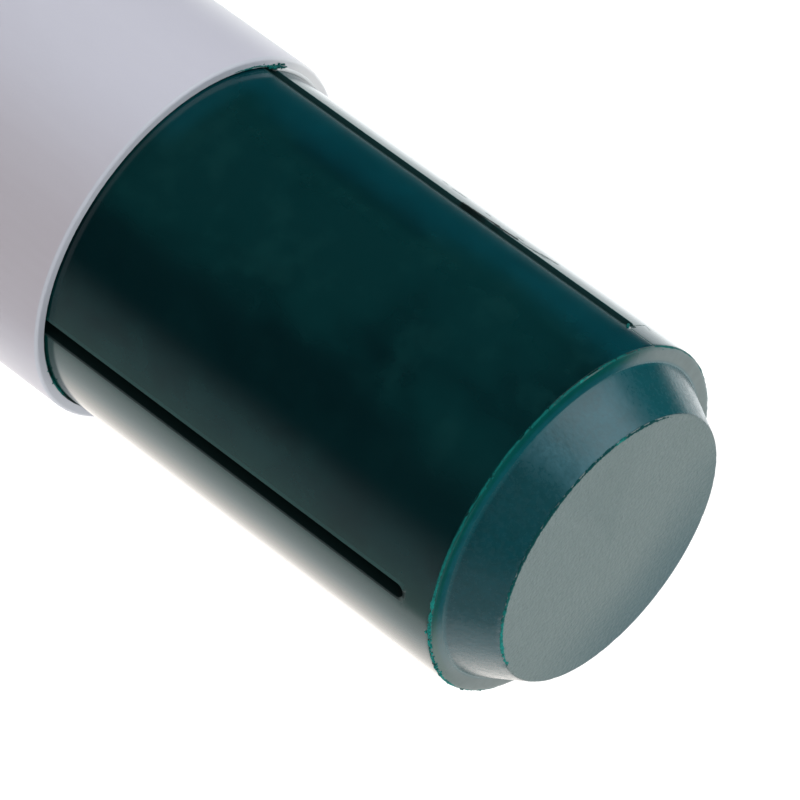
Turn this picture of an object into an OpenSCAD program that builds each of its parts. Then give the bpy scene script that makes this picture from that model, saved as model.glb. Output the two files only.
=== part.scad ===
// Twist-up marking crayon: a wax stick in a plastic barrel, wound out by a knob
// and a coarse left-hand screw. It stands on its knob, +Z along its axis, with
// the origin at the middle of its foot. Millimetres.

/* [Wax stick] */
// Diameter of the wax stick
crayon_d = 30; // [28:0.5:40]
// Length of the wax stick, from the carrier to the disc at its tip
crayon_len = 88; // [70:1:110]
// How far the disc at the tip is set in from the side of the stick
tip_inset = 3.4; // [2.6:0.1:6]
// Height of the stepped tip over the rim
tip_h = 3.9; // [2:0.1:6]
// How much wider the foot of the tip is than its disc, on the radius
tip_draft = 2.1; // [0:0.1:2.4]
// Hollow round where the tip rises from the rim
tip_fillet = 0.8; // [0.4:0.1:1.8]
// Small round on the edge of the disc
tip_edge = 0.25; // [0.1:0.05:0.5]
// Round on the outer edge of the rim
rim_round = 0.3; // [0.1:0.05:0.6]
// Wax left over the end of the bore for the screw
tip_cover = 8; // [5:0.5:14]

/* [Guide ribs and grooves] */
// Number of ribs in the barrel, and of grooves in the wax
rib_count = 3; // [2:1:6]
// Width of each groove in the wax
groove_w = 1.25; // [0.9:0.05:2]
// Depth of each groove in the wax
groove_depth = 1.2; // [0.9:0.05:1.8]
// Plain wax between the rim and the end of a groove
groove_below_rim = 2.9; // [2:0.1:8]
// Play between a rib and the sides and bottom of its groove
rib_gap = 0.15; // [0.1:0.05:0.25]

/* [Barrel] */
// Wall of the barrel
barrel_wall = 0.8; // [0.7:0.05:2]
// Play of the wax in the barrel, on the radius
bore_gap = 0.2; // [0.1:0.05:0.4]
// Round on the outer edge of the mouth
lip_round = 0.25; // [0.1:0.05:0.5]
// How far the disc lies below the mouth when it is wound right down
crayon_recess = 1.2; // [0.5:0.1:6]
// Thickness of the barrel's floor
floor_t = 1.6; // [1:0.1:2.2]
// Length of the spigot that turns inside the knob
spigot_len = 2.5; // [1.8:0.1:4]
// Wall of the spigot
spigot_wall = 1.4; // [1:0.1:2]
// Thickness of the ledge that stops the carrier
ledge_t = 1.4; // [1:0.1:3]

/* [Knob] */
// Height of the knob
knob_h = 12; // [9:0.5:20]
// Wall of the knob
knob_wall = 1.4; // [1.1:0.1:2]
// Thickness of the knob's floor
knob_floor = 1.8; // [1.2:0.1:3]
// Round on the lower edge of the knob
knob_round = 0.8; // [0.3:0.1:1]
// How far the knob's side lies inside the barrel's
knob_inset = 0.3; // [0.1:0.05:0.6]
// Bevel on the two edges that face each other where the knob meets the barrel
edge_break = 0.3; // [0.1:0.05:0.4]
// Number of finger flutes
flute_count = 30; // [12:1:36]
// Radius of each flute
flute_r = 1.2; // [0.8:0.1:1.6]
// Depth of each flute
flute_depth = 0.6; // [0.3:0.1:0.8]
// Plain band left above and below the flutes
flute_band = 1.8; // [1.2:0.1:3]
// Thickness of the webs between the knob's wall and the screw's foot
web_t = 1.2; // [0.8:0.1:2]
// Face-to-face play between the knob, the barrel and the carrier
turn_gap = 0.3; // [0.2:0.05:0.5]
// Play of the spigot in the knob, on the radius
spigot_gap = 0.2; // [0.1:0.05:0.4]

/* [Screw] */
// Diameter over the screw's thread
screw_d = 8.4; // [7:0.2:12]
// Depth of the thread
thread_depth = 1; // [0.6:0.1:1.3]
// Rise of the wax for each full turn of the knob
lead = 8; // [6:0.5:12]
// Play between the screw's thread and the carrier's, on the radius
thread_gap = 0.3; // [0.25:0.05:0.5]
// Play between the screw and the bore in the wax, on the radius
screw_clear = 0.8; // [0.5:0.1:2]
// How much the screw's neck is thicker than its thread, on the radius
neck_over = 0.2; // [0.1:0.05:0.5]
// Play between the screw's neck and the hole in the barrel's floor, on the radius
neck_gap = 0.15; // [0.1:0.05:0.3]
// How far the snap bead stands out over the screw's neck
bead_out = 0.6; // [0.4:0.1:1]
// Length of the snap bead
bead_len = 1.4; // [0.8:0.1:1.6]
// Length of the plain pilot on the end of the screw
pilot_len = 2; // [1:0.5:4]

/* [Carrier] */
// Thickness of the carrier's plate
carrier_t = 1.6; // [1.2:0.1:3]
// Play of the carrier in the barrel, on the radius
carrier_gap = 0.35; // [0.25:0.05:0.6]
// Wall of the cup that grips the wax
cup_wall = 0.9; // [0.7:0.1:1]
// Height of the cup over its plate
cup_h = 7; // [4:0.5:12]
// Length of the threaded boss
boss_h = 9; // [7:0.5:14]
// Wall of the threaded boss
boss_wall = 2.2; // [1.6:0.1:4]
// Skin between the wax and the cup that it was cast in
cast_gap = 0.05; // [0.02:0.01:0.1]

/* [Position] */
// How far the wax is wound up from its lowest place
raised = 45; // [0:1:60]

/* [Hidden] */
$fn = 96;

// Angle of the first rib, and the overlap that lets a union take hold
first_rib = 90;
bite = 0.3;
// How far a cutter reaches past what it cuts
reach = 1;
// Points in each rounded edge, round the small rods, round the screw's section and
// along each of its turns
round_steps = 6;
rod_points = 32;
screw_points = 16;
turn_slices = 15;
// Half widths of the thread's crest and foot, in degrees round the screw
crest_half = 22.5;
foot_half = 67.5;
// Play left on each side of the thread in the carrier, along the axis
flank_gap = thread_gap / 2;
// Play between the snap bead and the barrel's floor, and past the screw's end
bead_gap = 0.2;
end_gap = 1;
// Length of the bead's straight part, and the step from the bead to the screw's foot
bead_land = bead_len / 3;
foot_step = 1;
// Radius of the pilot as a share of the thread's root, and most of the wall that the
// mouth's round may take
pilot_share = 0.9;
lip_share = 0.6;
// Least flat left on the rim between its two rounds
least_flat = 0.1;

// Radii
crayon_r = crayon_d / 2;
bore_r = crayon_r + bore_gap;
barrel_r = bore_r + barrel_wall;
knob_r = barrel_r - knob_inset;
skirt_r = knob_r - knob_wall;
spigot_r = skirt_r - spigot_gap;
well_r = spigot_r - spigot_wall;
screw_r = screw_d / 2;
root_r = screw_r - thread_depth;
neck_r = screw_r + neck_over;
neck_hole_r = neck_r + neck_gap;
screw_foot_r = neck_hole_r + bead_out + foot_step;
boss_r = screw_r + thread_gap + boss_wall;
carrier_r = bore_r - carrier_gap;
cup_r = carrier_r - cup_wall;
groove_r = crayon_r - groove_depth;
rib_r = groove_r + rib_gap;
rib_w = groove_w - 2 * rib_gap;
tip_r = crayon_r - tip_inset;
rim_flat_r = crayon_r - rim_round;
tip_foot_r = min(tip_r + tip_draft, rim_flat_r - tip_fillet / 2);
lip = min(lip_round, barrel_wall * lip_share);

// Lean of the tip's side, and how far the middle of a round on it lies to the side of
// its corner for each millimetre of radius
lean = atan((tip_foot_r - tip_r) / tip_h);
tuck = (1 - sin(lean)) / cos(lean);
fillet = min(tip_fillet, (rim_flat_r - tip_foot_r - least_flat) / tuck, tip_h / 2);

// Heights, from the foot up
barrel_z = knob_h + turn_gap;
spigot_z = barrel_z - spigot_len;
web_top_z = spigot_z - knob_floor;
floor_z = spigot_z + floor_t;
ledge_z = barrel_z + ledge_t;
bead_z = floor_z + bead_gap;
thread_z = bead_z + bead_len;
home_z = max(ledge_z, thread_z) + turn_gap;
home_tip_z = home_z + carrier_t + crayon_len;
mouth_z = home_tip_z + crayon_recess;
rib_top_z = home_tip_z - tip_h - groove_below_rim - turn_gap;
screw_top_z = home_tip_z - tip_cover - end_gap;
carrier_z = home_z + raised;
crayon_z = carrier_z + carrier_t;
rim_h = crayon_len - tip_h;

// An arc about [x, z] from angle a to angle b
function arc(x, z, r, a, b) =
    [for (i = [0:round_steps]) let (t = a + (b - a) * i / round_steps)
        [x + r * cos(t), z + r * sin(t)]];

// Height of the thread's ridge, from 0 to 1, at an angle from its middle
function ridge(a) = min(1, max(0, (foot_half - abs(a)) / (foot_half - crest_half)));

// A stretch of the left-hand screw from z0 to z1. Its turns depend on z alone,
// so the carrier's thread is in mesh with the screw's at any height.
module screw_thread(z0, z1, grow = 0, widen = 0) {
    step = 360 / screw_points;
    section = [for (i = [0:screw_points - 1])
        let (a = i * step - 180, r = root_r + grow + thread_depth * ridge(max(0, abs(a) - widen)))
            [r * cos(a), r * sin(a)]];
    turns = (z1 - z0) / lead;
    translate([0, 0, z0])
        rotate(-360 * z0 / lead)
            linear_extrude(height = z1 - z0, twist = 360 * turns,
                slices = ceil(turns * turn_slices), segments = screw_points, $fn = screw_points)
                polygon(section);
}

// Copies round the axis, one at each rib
module at_ribs() {
    for (i = [0:rib_count - 1])
        rotate(first_rib + i * 360 / rib_count) children();
}

// A bar along a rib's line from z0 to z1 and from radius r0 to r1, with a round top
module rib_bar(r0, r1, z0, z1, w) {
    translate([r0, -w / 2, z0]) cube([r1 - r0, w, z1 - w / 2 - z0]);
    translate([r0, 0, z1 - w / 2])
        rotate([0, 90, 0]) cylinder(d = w, h = r1 - r0, $fn = rod_points);
}

// Moulded tube: a spigot and floor at its foot, a ledge for the carrier and ribs inside
module barrel() {
    color([0.72, 0.73, 0.78]) union() {
        rotate_extrude()
            polygon(concat(
                [[neck_hole_r, spigot_z], [spigot_r, spigot_z], [spigot_r, barrel_z],
                 [barrel_r - edge_break, barrel_z], [barrel_r, barrel_z + edge_break]],
                arc(barrel_r - lip, mouth_z - lip, lip, 0, 90),
                [[bore_r, mouth_z], [bore_r, ledge_z], [well_r, ledge_z], [well_r, floor_z],
                 [neck_hole_r, floor_z]]));
        at_ribs() rib_bar(rib_r, bore_r + bite, ledge_z - bite, rib_top_z, rib_w);
    }
}

// The cutter for one flute: a rod with round ends, centred on them
module flute(z0, z1) {
    translate([0, 0, z0]) cylinder(r = flute_r, h = z1 - z0, $fn = rod_points);
    for (z = [z0, z1]) translate([0, 0, z]) sphere(r = flute_r, $fn = rod_points);
}

// Fluted cup with the screw standing on its floor, moulded in one
module twist_knob() {
    color([0.72, 0.73, 0.78]) union() {
        difference() {
            rotate_extrude()
                polygon(concat(
                    [[0, 0]],
                    arc(knob_r - knob_round, knob_round, knob_round, -90, 0),
                    [[knob_r, knob_h - edge_break], [knob_r - edge_break, knob_h],
                     [skirt_r, knob_h], [skirt_r, knob_floor], [0, knob_floor]]));
            for (i = [0:flute_count - 1])
                rotate(i * 360 / flute_count)
                    translate([knob_r - flute_depth + flute_r, 0, 0])
                        flute(flute_band + flute_r, knob_h - flute_band - flute_r);
        }
        for (a = [0, 90])
            rotate(a)
                translate([-skirt_r - bite, -web_t / 2, knob_floor - bite])
                    cube([2 * (skirt_r + bite), web_t, web_top_z - knob_floor + bite]);
        rotate_extrude()
            polygon([[0, knob_floor - bite], [screw_foot_r, knob_floor - bite],
                [screw_foot_r, spigot_z - turn_gap], [neck_r, spigot_z - turn_gap], [neck_r, bead_z],
                [neck_r + bead_out, bead_z], [neck_r + bead_out, bead_z + bead_land],
                [neck_r, thread_z], [0, thread_z]]);
        screw_thread(thread_z, screw_top_z - pilot_len);
        translate([0, 0, screw_top_z - pilot_len - bite])
            cylinder(r = root_r * pilot_share, h = pilot_len + bite);
    }
}

// Moulded cup that carries the wax: notched for the ribs, with a threaded boss
module carrier() {
    color([0.9, 0.9, 0.88]) difference() {
        rotate_extrude()
            polygon([[0, carrier_z], [carrier_r, carrier_z], [carrier_r, crayon_z + cup_h],
                [cup_r, crayon_z + cup_h], [cup_r, crayon_z], [boss_r, crayon_z],
                [boss_r, carrier_z + boss_h], [0, carrier_z + boss_h]]);
        at_ribs()
            translate([groove_r, -groove_w / 2, carrier_z - reach])
                cube([groove_depth + bore_gap + reach, groove_w, carrier_t + cup_h + 2 * reach]);
        screw_thread(carrier_z - reach, carrier_z + boss_h + reach, thread_gap,
            flank_gap * 360 / lead);
    }
}

// Wax stick cast in the cup: a stepped tip, a groove for each rib, and a bore for the screw
module crayon() {
    color([0.03, 0.2, 0.2]) translate([0, 0, crayon_z]) difference() {
        rotate_extrude()
            polygon(concat(
                [[boss_r + cast_gap, 0], [cup_r - cast_gap, 0], [cup_r - cast_gap, cup_h],
                 [crayon_r, cup_h]],
                arc(rim_flat_r, rim_h - rim_round, rim_round, 0, 90),
                arc(tip_foot_r + fillet * tuck, rim_h + fillet, fillet, 270, 180 + lean),
                arc(tip_r - tip_edge * tuck, crayon_len - tip_edge, tip_edge, lean, 90),
                [[0, crayon_len], [0, crayon_len - tip_cover],
                 [screw_r + screw_clear, crayon_len - tip_cover],
                 [screw_r + screw_clear, boss_h - carrier_t + cast_gap],
                 [boss_r + cast_gap, boss_h - carrier_t + cast_gap]]));
        at_ribs() rib_bar(groove_r, crayon_r + reach, -reach, rim_h - groove_below_rim, groove_w);
    }
}

barrel();
twist_knob();
carrier();
crayon();
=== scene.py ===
import math

import bmesh
import bpy
import numpy as np
from mathutils import Matrix, Vector


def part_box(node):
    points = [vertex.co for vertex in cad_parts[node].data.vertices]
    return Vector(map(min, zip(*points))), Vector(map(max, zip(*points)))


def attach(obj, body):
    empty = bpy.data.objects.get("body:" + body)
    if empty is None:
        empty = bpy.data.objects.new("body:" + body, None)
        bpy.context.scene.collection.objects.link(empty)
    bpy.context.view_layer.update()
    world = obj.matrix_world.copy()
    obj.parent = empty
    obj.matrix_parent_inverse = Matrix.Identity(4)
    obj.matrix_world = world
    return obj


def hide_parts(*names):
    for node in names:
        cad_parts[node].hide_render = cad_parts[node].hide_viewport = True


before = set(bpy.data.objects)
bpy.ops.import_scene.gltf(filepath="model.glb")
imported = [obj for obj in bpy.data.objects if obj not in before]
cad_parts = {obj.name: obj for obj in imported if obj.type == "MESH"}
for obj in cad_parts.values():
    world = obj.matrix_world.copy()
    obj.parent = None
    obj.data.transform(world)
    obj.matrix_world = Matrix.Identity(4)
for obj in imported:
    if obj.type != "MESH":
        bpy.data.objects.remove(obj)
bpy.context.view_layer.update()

MM = 0.001

# ---------------------------------------------------------------- view
# A long lens looks down on the marking tip from the stick's side. It is rolled,
# so that the stick points to the lower right of the picture.
VIEW_TURN = math.radians(-80.3)
VIEW_RISE = math.radians(26.81)
VIEW_ROLL = math.radians(126.26)
VIEW_DISTANCE = 521.9 * MM
AIM_BELOW_TIP = 21.12 * MM
AIM_ASIDE = (0.29 * MM, 0.05 * MM)
LENS_LENGTH = 315
FILM_WIDTH = 36
NEAREST, FARTHEST = 0.01, 50

wax_low, wax_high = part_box("crayon")
aim = Vector((*AIM_ASIDE, wax_high.z - AIM_BELOW_TIP))
outward = Vector((
    math.cos(VIEW_RISE) * math.cos(VIEW_TURN),
    math.cos(VIEW_RISE) * math.sin(VIEW_TURN),
    math.sin(VIEW_RISE),
))
camera_data = bpy.data.cameras.new("camera")
camera_data.lens = LENS_LENGTH
camera_data.sensor_width = FILM_WIDTH
camera_data.clip_start = NEAREST
camera_data.clip_end = FARTHEST
camera = bpy.data.objects.new("camera", camera_data)
upright = (-outward).to_track_quat("-Z", "Y").to_matrix().to_4x4()
camera.matrix_world = (
    Matrix.Translation(aim + outward * VIEW_DISTANCE) @ upright @ Matrix.Rotation(VIEW_ROLL, 4, "Z")
)
scene = bpy.context.scene
scene.collection.objects.link(camera)
scene.camera = camera

# -------------------------------------------------------------- studio
# A white room: a pale floor, four soft lamps, and a surround that shiny surfaces see as a
# bright wall behind the stick, a dimmer one to its right, and dark elsewhere.
scene.view_settings.view_transform = "Standard"


def add(tree, kind, inputs=None, **settings):
    """Add a node with its settings, and its inputs as values or as sockets to link."""
    made = tree.nodes.new(kind)
    for name, value in settings.items():
        setattr(made, name, value)
    for name, value in (inputs or {}).items():
        if isinstance(value, bpy.types.NodeSocket):
            tree.links.new(value, made.inputs[name])
        else:
            made.inputs[name].default_value = value
    return made


def maths(tree, operation, first, second=0.0, third=0.0):
    """The output of a Math node."""
    return add(tree, "ShaderNodeMath", {0: first, 1: second, 2: third}, operation=operation).outputs[0]


def ramp(tree, value, low, high, to_low=0.0, to_high=1.0):
    """A smooth step of a value from low to high."""
    inputs = {0: value, 1: low, 2: high, 3: to_low, 4: to_high}
    return add(tree, "ShaderNodeMapRange", inputs, interpolation_type="SMOOTHSTEP").outputs[0]


def mix(tree, share, first, second):
    """A blend of two colours."""
    return add(tree, "ShaderNodeMix", {0: share, 6: first, 7: second}, data_type="RGBA").outputs[2]


AMBIENT = 0.45
WALL_SIDE = math.radians(86)
WALL_EDGE = (0.47, 0.61)
WALL_CENTRE = (0.66, 0.9)
WALL_BRIGHT = 1.4
WALL_BRIGHTER = 1.85
WALL_TOP = (0.7, 0.55)
WALL_SPREAD = 0.17
WALL_SPREAD_UP = (0.0, 0.4)
ROOM_SIDE = math.radians(20)
ROOM_EDGE = (0.56, 1.0)
ROOM_BRIGHT = 0.45
WARM_SIDE = math.radians(78)
WARM_EDGE = (0.86, 0.98)
NEUTRAL = (0.96, 1.0, 1.01, 1)
WARM = (1.06, 1.0, 0.95, 1)

world = bpy.data.worlds.new("white_room")
scene.world = world
world.use_nodes = True
tree = world.node_tree
tree.nodes.clear()
direction = add(tree, "ShaderNodeTexCoord").outputs["Generated"]
level = add(tree, "ShaderNodeVectorMath", {0: direction, 1: (1, 1, 0)}, operation="MULTIPLY").outputs[0]
level = add(tree, "ShaderNodeVectorMath", {0: level}, operation="NORMALIZE").outputs[0]


def facing(side):
    """How nearly a direction points to one side of the room, from -1 to 1."""
    side = (math.cos(side), math.sin(side), 0)
    return add(tree, "ShaderNodeVectorMath", {0: level, 1: side}, operation="DOT_PRODUCT").outputs["Value"]


up = add(tree, "ShaderNodeSeparateXYZ", {0: direction}).outputs["Z"]
to_wall = maths(tree, "ADD", facing(WALL_SIDE), ramp(tree, up, *WALL_SPREAD_UP, 0.0, WALL_SPREAD))
wall = maths(tree, "MULTIPLY", ramp(tree, to_wall, *WALL_EDGE),
             ramp(tree, to_wall, *WALL_CENTRE, WALL_BRIGHT, WALL_BRIGHTER))
wall = maths(tree, "MULTIPLY", wall, ramp(tree, up, *WALL_TOP))
room = ramp(tree, facing(ROOM_SIDE), *ROOM_EDGE, 0.0, ROOM_BRIGHT)
in_gloss = maths(tree, "MAXIMUM", wall, room)
tint = mix(tree, ramp(tree, facing(WARM_SIDE), *WARM_EDGE), NEUTRAL, WARM)
rays = add(tree, "ShaderNodeLightPath").outputs
ambient = add(tree, "ShaderNodeBackground", {"Color": (1, 1, 1, 1), "Strength": AMBIENT})
gloss = add(tree, "ShaderNodeBackground", {"Color": tint, "Strength": in_gloss})
white = add(tree, "ShaderNodeBackground", {"Color": (1, 1, 1, 1), "Strength": 1.0})
plain = maths(tree, "MAXIMUM", rays["Is Camera Ray"], rays["Is Transmission Ray"])
sky = {0: rays["Is Glossy Ray"], 1: ambient.outputs[0], 2: gloss.outputs[0]}
sky = add(tree, "ShaderNodeMixShader", sky).outputs[0]
sky = add(tree, "ShaderNodeMixShader", {0: plain, 1: sky, 2: white.outputs[0]}).outputs[0]
add(tree, "ShaderNodeOutputWorld", {"Surface": sky})

FLOOR_SIZE = 8.0
FLOOR_COLOUR = (0.8, 0.8, 0.8, 1)
FLOOR_LIFT = 0.25
bpy.ops.mesh.primitive_plane_add(size=FLOOR_SIZE, location=(0, 0, 0))
floor = bpy.context.object
floor.name = "floor"
floor.visible_glossy = False
floor_material = bpy.data.materials.new("pale_floor")
floor_material.use_nodes = True
tree = floor_material.node_tree
tree.nodes.clear()
rays = add(tree, "ShaderNodeLightPath").outputs
matt = add(tree, "ShaderNodeBsdfDiffuse", {"Color": FLOOR_COLOUR})
plain = maths(tree, "MAXIMUM", rays["Is Camera Ray"], rays["Is Transmission Ray"])
lift = maths(tree, "MULTIPLY", plain, FLOOR_LIFT)
lift = add(tree, "ShaderNodeEmission", {"Color": (1, 1, 1, 1), "Strength": lift})
both = add(tree, "ShaderNodeAddShader", {0: matt.outputs[0], 1: lift.outputs[0]})
add(tree, "ShaderNodeOutputMaterial", {"Surface": both.outputs[0]})
floor.data.materials.append(floor_material)


LAMP_WIDTH = 0.8


def soft_lamp(name, turn, rise, distance, watts, tint=(1.0, 1.0, 1.0), in_gloss=False):
    """A square soft lamp that faces the middle of the stick."""
    lamp_data = bpy.data.lights.new(name, "AREA")
    lamp_data.size = LAMP_WIDTH
    lamp_data.energy = watts
    lamp_data.color = tint
    lamp = bpy.data.objects.new(name, lamp_data)
    turn, rise = math.radians(turn), math.radians(rise)
    away = Vector((math.cos(rise) * math.cos(turn), math.cos(rise) * math.sin(turn), math.sin(rise)))
    lamp.location = away * distance + Vector((0, 0, wax_high.z / 2))
    lamp.rotation_euler = (-away).to_track_quat("-Z", "Y").to_euler()
    lamp.visible_glossy = in_gloss
    scene.collection.objects.link(lamp)


soft_lamp("lamp_left", turn=-145, rise=25, distance=1.0, watts=5.8, tint=(0.97, 0.985, 1.0), in_gloss=True)
soft_lamp("lamp_right", turn=10, rise=30, distance=1.0, watts=4.0, tint=(1.0, 0.97, 0.96))
soft_lamp("lamp_front", turn=-80, rise=50, distance=1.2, watts=3.5)
soft_lamp("lamp_back", turn=100, rise=45, distance=1.2, watts=6.0)

# ----------------------------------------------------------- wax stick
# Blue-green marking wax, cast in the barrel over the carrier's cup. The barrel's three
# ribs leave grooves in its side, and the mould leaves a rim and a raised, tapered tip.
WAX_R = wax_high.x / MM
WAX_FOOT = wax_low.z / MM
WAX_LENGTH = (wax_high.z - wax_low.z) / MM
TIP_R = 11.6
TIP_FOOT_R = 13.7
TIP_HEIGHT = 3.9
TIP_FILLET = 0.1
TIP_EDGE = 0.16
RIM_ROUND = 0.3
RIM_SLOPE = 2
RIM = WAX_LENGTH - TIP_HEIGHT
CUP_R = 13.9
CUP_HEIGHT = 7.0
CUP_ROWS = 6
BORE_R = 5.0
BORE_TOP = WAX_LENGTH - 8.0
BOSS_R = 6.75
BOSS_TOP = 7.45
GROOVE_ANGLES = (90, 210, 330)
GROOVE_PITCH = 120
GROOVE_HALF = 0.625
GROOVE_R = 13.8
GROOVE_TOP = RIM - 2.9
GROOVE_EDGE = 0.03
GROOVE_MARGIN = 0.7
GROOVE_CLOSED = 0.17 * GROOVE_HALF
PLAIN_COLUMNS = 100
SIDE_ROWS = 70
DISC_RINGS = (11.2, 10.9, 10.0, 8.0, 6.0, 4.0, 2.0, 0.5)
DEEP = 9.0
# Across a groove: how far each column lies outside its wall, and how deep it is there.
WALL_COLUMNS = [
    (GROOVE_MARGIN, 0.0), (0.3, 0.0), (GROOVE_EDGE, 0.0), (0.0, GROOVE_EDGE), (-0.01, 0.4), (-0.03, DEEP)]
FLOOR_COLUMNS = (0.6, 0.0, -0.6)


def arc(r, height, size, start, end, steps):
    """Points of an arc in the plane of the radius and the height."""
    angles = np.radians(np.linspace(start, end, steps))
    return [(r + size * math.cos(a), height + size * math.sin(a)) for a in angles]


def run(start, end, steps):
    """Even steps from one point towards another, which is left out."""
    return [tuple(p) for p in np.linspace(start, end, steps, endpoint=False)]


groove_middle = GROOVE_TOP - GROOVE_HALF
side_heights = list(np.linspace(CUP_HEIGHT, groove_middle - 0.4, SIDE_ROWS))
side_heights += [groove_middle + GROOVE_HALF * math.sin(a) for a in np.radians(np.arange(0, 82, 9))]
side_heights += [GROOVE_TOP, GROOVE_TOP + GROOVE_EDGE]
side_heights += list(np.linspace(GROOVE_TOP + 0.4, RIM - RIM_ROUND - 0.2, 7))

# The rim is nearly flat, and meets the tip's leaning side in a very small fillet.
lean = math.degrees(math.atan((TIP_FOOT_R - TIP_R) / TIP_HEIGHT))
slope_sin, slope_cos = math.sin(math.radians(RIM_SLOPE)), math.cos(math.radians(RIM_SLOPE))
lean_sin, lean_cos = math.sin(math.radians(lean)), math.cos(math.radians(lean))
rim_edge = arc(WAX_R - RIM_ROUND, RIM - RIM_ROUND, RIM_ROUND, 0, 90 - RIM_SLOPE, 7)
rim_way = np.array([-slope_cos, slope_sin])
tip_way = np.array([-lean_sin, lean_cos])
to_tip = np.array([TIP_FOOT_R, RIM]) - rim_edge[-1]
rim_length, _ = np.linalg.solve(np.stack([rim_way, -tip_way], axis=1), to_tip)
corner = np.array(rim_edge[-1]) + rim_way * rim_length
fillet_start = corner - rim_way * TIP_FILLET * math.tan(math.radians(90 - RIM_SLOPE - lean) / 2)
fillet_centre = fillet_start + TIP_FILLET * np.array([slope_sin, slope_cos])
rim_fillet = arc(*fillet_centre, TIP_FILLET, 270 - RIM_SLOPE, 180 + lean, 6)
tuck = (1 - lean_sin) / lean_cos

# Half of the stick's outline: down the bore, over the boss and the cup, up the side, and over
# the rim and the tip to the middle of the disc.
profile = [(0.0, BORE_TOP)] + run((0.4, BORE_TOP), (BORE_R, BORE_TOP), 3)
profile += run((BORE_R, BORE_TOP), (BORE_R, BOSS_TOP), 10)
profile += [(BORE_R, BOSS_TOP), (BOSS_R, BOSS_TOP)] + run((BOSS_R, BOSS_TOP - 0.1), (BOSS_R, 0), 4)
profile += run((BOSS_R, 0), (CUP_R, 0), 4) + run((CUP_R, 0), (CUP_R, CUP_HEIGHT), CUP_ROWS - 1)
profile += [(CUP_R, CUP_HEIGHT)]
first_side = len(profile)
profile += [(WAX_R, height) for height in side_heights]
last_side = len(profile)
profile += rim_edge + run(rim_edge[-1], rim_fillet[0], 5)[1:] + rim_fillet
tip_edge = arc(TIP_R - TIP_EDGE * tuck, WAX_LENGTH - TIP_EDGE, TIP_EDGE, lean, 90, 9)
profile += run(profile[-1], tip_edge[0], 12)[1:]
first_edge = len(profile)
profile += tip_edge
last_edge = len(profile)
profile += [(r, WAX_LENGTH) for r in DISC_RINGS] + [(0.0, WAX_LENGTH)]


def groove_at(number, height):
    """Half width of a groove and its greatest depth at a row of the profile."""
    if not first_side - CUP_ROWS < number < last_side:
        return GROOVE_CLOSED, 0.0
    if height <= groove_middle:
        return GROOVE_HALF, DEEP
    if height < GROOVE_TOP - 1e-4:
        return math.sqrt(GROOVE_HALF ** 2 - (height - groove_middle) ** 2), DEEP
    return GROOVE_CLOSED, GROOVE_EDGE if height < GROOVE_TOP + 0.01 else 0.0


# The outline is turned round the axis, with close columns across each groove to cut it in.
rows = []
reach = GROOVE_HALF + GROOVE_MARGIN
for number, (r, height) in enumerate(profile):
    half, deepest = groove_at(number, height)
    across = [(half + d, depth) for d, depth in WALL_COLUMNS]
    across += [(half * share, DEEP) for share in FLOOR_COLUMNS]
    across += [(-half - d, depth) for d, depth in reversed(WALL_COLUMNS)]
    even = np.linspace(reach, -reach, len(across))
    even_out = deepest == 0.0 and (height > GROOVE_TOP + 0.2 or number < first_side)
    row = []
    for groove in GROOVE_ANGLES:
        centre = math.radians(groove)
        for column, (offset, depth) in enumerate(across):
            if even_out or column in (0, len(across) - 1):
                offset = even[column]
            cut = min(r, max(GROOVE_R, WAX_R - min(depth, deepest))) if deepest else r
            row.append((centre - offset / WAX_R, cut, height))
        next_groove = centre + math.radians(GROOVE_PITCH)
        after = np.linspace(centre + reach / WAX_R, next_groove - reach / WAX_R, PLAIN_COLUMNS + 2)
        row += [(a, r, height) for a in after[1:-1]]
    rows.append(row)
rows = np.array(rows)

# Hand-cast unevenness: slow waves in the side, and nicks in the edge of the disc.
turn, height = rows[..., 0], rows[..., 2]
waves = (0.006 * np.sin(2 * turn + 0.23 * height + 1) + 0.004 * np.sin(5 * turn - 0.41 * height)
         + 0.0025 * np.sin(11 * turn + 0.9 * height + 2))
on_side = np.zeros(len(rows), bool)
on_side[first_side:last_side + 3] = True
rows[..., 1] -= np.where(on_side[:, None], np.abs(waves), 0)

# Each nick has its angle, its half width in degrees and its depth in mm: those that show
# come first, and then small random ones.
SMALL_NICKS = 40
rng = np.random.default_rng(7)
nicks = [(329.1, 0.8, 0.16), (331, 0.6, 0.08), (335.4, 1.0, 0.13), (338, 0.6, 0.1), (341, 0.7, 0.06),
         (345.2, 1.1, 0.12), (349, 0.6, 0.05), (356.1, 1.4, 0.14), (358, 0.6, 0.08), (293.3, 0.9, 0.07)]
for start, end, least, most in [(280, 400, 0.02, 0.07), (0, 360, 0.01, 0.05)]:
    nicks += zip(rng.uniform(start, end, SMALL_NICKS), rng.uniform(0.5, 1.2, SMALL_NICKS),
                 rng.uniform(least, most, SMALL_NICKS))
nick_depth = 0.0
for nick_angle, nick_width, depth in nicks:
    apart = (np.degrees(turn[first_edge:]) - nick_angle + 180) % 360 - 180
    nick_depth = nick_depth + depth * np.exp(-(apart / nick_width) ** 2)
fade = np.zeros(len(rows) - first_edge)
fade[:last_edge - first_edge] = 1.0
fade[:2] = (0.3, 0.7)
fade[last_edge - first_edge] = 0.5
rows[first_edge:, :, 1] = np.maximum(rows[first_edge:, :, 1] - nick_depth * fade[:, None], 0)


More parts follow.
